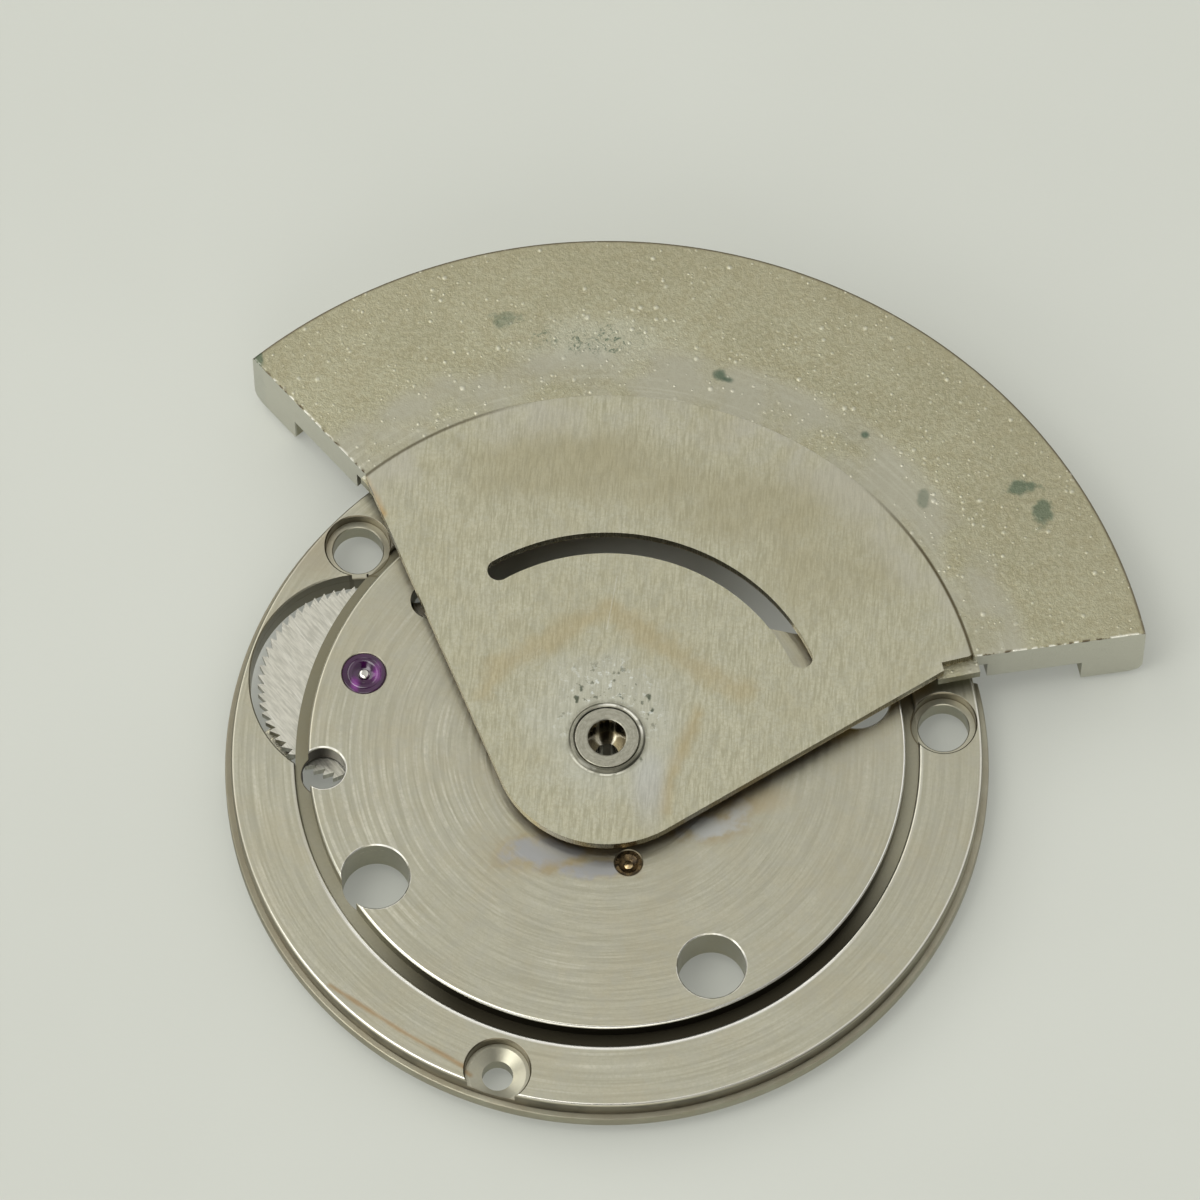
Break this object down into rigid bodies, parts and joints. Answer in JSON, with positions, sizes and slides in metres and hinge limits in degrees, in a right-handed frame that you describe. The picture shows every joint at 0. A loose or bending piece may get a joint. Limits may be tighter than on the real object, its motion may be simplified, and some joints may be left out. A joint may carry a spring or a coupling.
{
  "type": "automatic winding mechanism",
  "caption": "Self-winding module of a wrist watch: half-moon rotor with a heavy rim on a hollow post, round frame plate, and a reverser and reduction train beneath.",
  "frame": {"origin": "rotor axis at the underside of the lower bridge, the lowest face of the mechanism", "axes": "+Z along the rotor axis towards the rotor, +Y towards the balance opening, with the heavy rim lying over +Y at rest"},
  "size_m": [0.0214, 0.0217, 0.0023],
  "materials": {
    "nickel_plate": "nickel-plated brass, turned and finely brushed",
    "weight_metal": "nickel-plated heavy metal, sandblasted",
    "rotor_sheet_metal": "nickel-plated sheet, brushed and a little stained",
    "polished_steel": "hardened steel, polished",
    "brass": "turned brass, satin",
    "ruby": "synthetic ruby, polished"
  },
  "bodies": {
    "frame": {"frame_plate": "nickel_plate", "lower_bridge": "nickel_plate", "centre_post": "polished_steel", "rotor_washer": "brass", "upper_jewel": "ruby", "lower_jewel": "ruby", "upper_bush": "brass", "lower_bush": "brass", "inter_stud": "polished_steel", "reduction_stud": "polished_steel", "bridge_screw_outer": "polished_steel", "bridge_screw_front": "polished_steel", "bridge_screw_right": "polished_steel", "steady_pin_right": "polished_steel", "steady_pin_front": "polished_steel", "click_stud": "polished_steel", "click_spring": "polished_steel"},
    "rotor": {"rotor_sheet": "rotor_sheet_metal", "rotor_weight": "weight_metal", "rotor_bush": "polished_steel", "rotor_pinion": "polished_steel"},
    "reverser": {"reverser_wheel": "brass", "reverser_arbor": "polished_steel", "reverser_ratchet": "polished_steel", "reverser_gear": "brass", "pawl_pin_left": "polished_steel", "pawl_pin_right": "polished_steel"},
    "pawl_left": {"pawl_left": "polished_steel"},
    "pawl_right": {"pawl_right": "polished_steel"},
    "intermediate": {"inter_wheel": "brass", "inter_pinion": "polished_steel"},
    "reduction": {"reduction_wheel": "brass", "reduction_pinion": "polished_steel"},
    "winding": {"saw_wheel": "polished_steel", "saw_arbor": "polished_steel", "output_pinion": "polished_steel"},
    "click": {"click": "polished_steel"}
  },
  "joints": [
    {"name": "rotor_spin", "type": "hinge", "parent": "frame", "child": "rotor", "pos_m": [0, 0, 0.0006], "axis": [0, 0, 1], "continuous": true},
    {"name": "reverser_spin", "type": "hinge", "parent": "frame", "child": "reverser", "pos_m": [0.0005, -0.00283, 0.0006], "axis": [0, 0, 1], "continuous": true},
    {"name": "intermediate_spin", "type": "hinge", "parent": "frame", "child": "intermediate", "pos_m": [-0.00238, -0.00243, 0.0006], "axis": [0, 0, 1], "continuous": true},
    {"name": "reduction_spin", "type": "hinge", "parent": "frame", "child": "reduction", "pos_m": [-0.00351, -0.0002, 0.0006], "axis": [0, 0, 1], "continuous": true},
    {"name": "winding_spin", "type": "hinge", "parent": "frame", "child": "winding", "pos_m": [-0.00565, 0.00193, 0.0006], "axis": [0, 0, 1], "continuous": true},
    {"name": "pawl_left_lift", "type": "hinge", "parent": "reverser", "child": "pawl_left", "pos_m": [-0.00042, -0.00375, 0.00075], "axis": [0, 0, -1], "range_deg": [0, 9]},
    {"name": "pawl_right_lift", "type": "hinge", "parent": "reverser", "child": "pawl_right", "pos_m": [0.00142, -0.00191, 0.00075], "axis": [0, 0, -1], "range_deg": [0, 9]},
    {"name": "click_lift", "type": "hinge", "parent": "frame", "child": "click", "pos_m": [-0.00364, 0.00432, 0.0008], "axis": [0, 0, 1], "range_deg": [-2, 3.5], "stiffness_Nm_per_rad": 0.000002}
  ],
  "couplings": [
    {"joint": "reverser_spin", "follows": "rotor_spin", "ratio": -0.52632},
    {"joint": "intermediate_spin", "follows": "rotor_spin", "ratio": 0.42763},
    {"joint": "reduction_spin", "follows": "rotor_spin", "ratio": -0.13504},
    {"joint": "winding_spin", "follows": "rotor_spin", "ratio": 0.03376}
  ]
}
